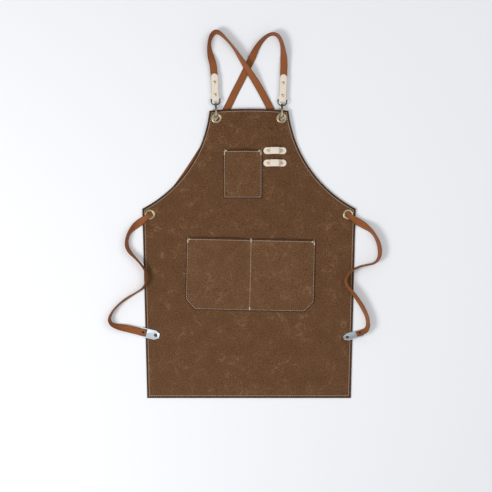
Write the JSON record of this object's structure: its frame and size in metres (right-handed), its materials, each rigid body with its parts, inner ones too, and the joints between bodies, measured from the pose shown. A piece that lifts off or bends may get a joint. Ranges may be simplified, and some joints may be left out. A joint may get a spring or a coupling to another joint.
{
  "type": "bib apron with snap-hook straps",
  "caption": "Canvas bib apron laid flat, with patch pockets, leather pen loops, grommets and crossed webbing straps clipped on by swivel snap hooks.",
  "frame": {"origin": "on the floor below the middle of the flat apron, from its hem to the tops of its leather tabs", "axes": "+Y from the hem to the bib, +X across the apron, +Z out of its front face"},
  "size_m": [0.7643, 1.0292, 0.024],
  "materials": {
    "canvas": "waxed cotton canvas",
    "webbing": "woven strap",
    "leather": "natural vegetable-tanned",
    "brass": "brushed",
    "antique_brass": "antique, worn",
    "dark_bronze": "dark antique",
    "spring_steel": "plain",
    "pale_metal": "satin",
    "black_rivet": "black oxide"
  },
  "bodies": {
    "root": {"apron_panel": "canvas", "chest_pocket": "canvas", "lower_pocket": "canvas", "pen_loop_upper": "leather", "pen_loop_lower": "leather", "chest_pocket_rivet_caps": "brass", "chest_pocket_rivet_posts": "brass", "lower_pocket_rivet_caps": "brass", "lower_pocket_rivet_posts": "brass", "pen_loop_rivet_caps": "brass", "pen_loop_rivet_posts": "brass", "left_bib_grommet": "antique_brass", "left_bib_grommet_washer": "antique_brass", "right_bib_grommet": "antique_brass", "right_bib_grommet_washer": "antique_brass", "left_side_grommet": "antique_brass", "left_side_grommet_washer": "antique_brass", "right_side_grommet": "antique_brass", "right_side_grommet_washer": "antique_brass", "left_leather_tab": "leather", "left_tab_rivet_caps": "brass", "left_tab_rivet_posts": "brass", "left_webbing_strap": "webbing", "left_strap_end_plate": "pale_metal", "left_plate_rivet_cap": "black_rivet", "left_plate_rivet_post": "black_rivet", "right_leather_tab": "leather", "right_tab_rivet_caps": "brass", "right_tab_rivet_posts": "brass", "right_webbing_strap": "webbing", "right_strap_end_plate": "pale_metal", "right_plate_rivet_cap": "black_rivet", "right_plate_rivet_post": "black_rivet"},
    "left_eye": {"left_hook_swivel_eye": "dark_bronze"},
    "left_hook": {"left_snap_hook": "antique_brass", "left_gate_pin": "spring_steel"},
    "left_gate": {"left_hook_gate": "antique_brass", "left_gate_spring": "spring_steel"},
    "right_eye": {"right_hook_swivel_eye": "dark_bronze"},
    "right_hook": {"right_snap_hook": "antique_brass", "right_gate_pin": "spring_steel"},
    "right_gate": {"right_hook_gate": "antique_brass", "right_gate_spring": "spring_steel"}
  },
  "joints": [
    {"name": "left_eye_hinge", "type": "hinge", "parent": "root", "child": "left_eye", "pos_m": [-0.0933, 0.3805, 0.0089], "axis": [0.9988, 0.0489, 0], "range_deg": [-2, 2]},
    {"name": "left_hook_swivel", "type": "hinge", "parent": "left_eye", "child": "left_hook", "pos_m": [-0.0933, 0.3805, 0.0089], "axis": [-0.0489, 0.9988, 0], "range_deg": [-20, 20]},
    {"name": "left_gate_hinge", "type": "hinge", "parent": "left_hook", "child": "left_gate", "pos_m": [-0.09192, 0.35233, 0.0021], "axis": [-0.9988, -0.0489, 0], "range_deg": [0, 9], "stiffness_Nm_per_rad": 0.01, "springref_deg": -17.19},
    {"name": "right_eye_hinge", "type": "hinge", "parent": "root", "child": "right_eye", "pos_m": [0.0933, 0.3783, 0.0089], "axis": [0.9988, -0.0489, 0], "range_deg": [-2, 2]},
    {"name": "right_hook_swivel", "type": "hinge", "parent": "right_eye", "child": "right_hook", "pos_m": [0.0933, 0.3783, 0.0089], "axis": [0.0489, 0.9988, 0], "range_deg": [-20, 20]},
    {"name": "right_gate_hinge", "type": "hinge", "parent": "right_hook", "child": "right_gate", "pos_m": [0.09192, 0.35013, 0.0021], "axis": [-0.9988, 0.0489, 0], "range_deg": [0, 9], "stiffness_Nm_per_rad": 0.01, "springref_deg": -17.19}
  ]
}
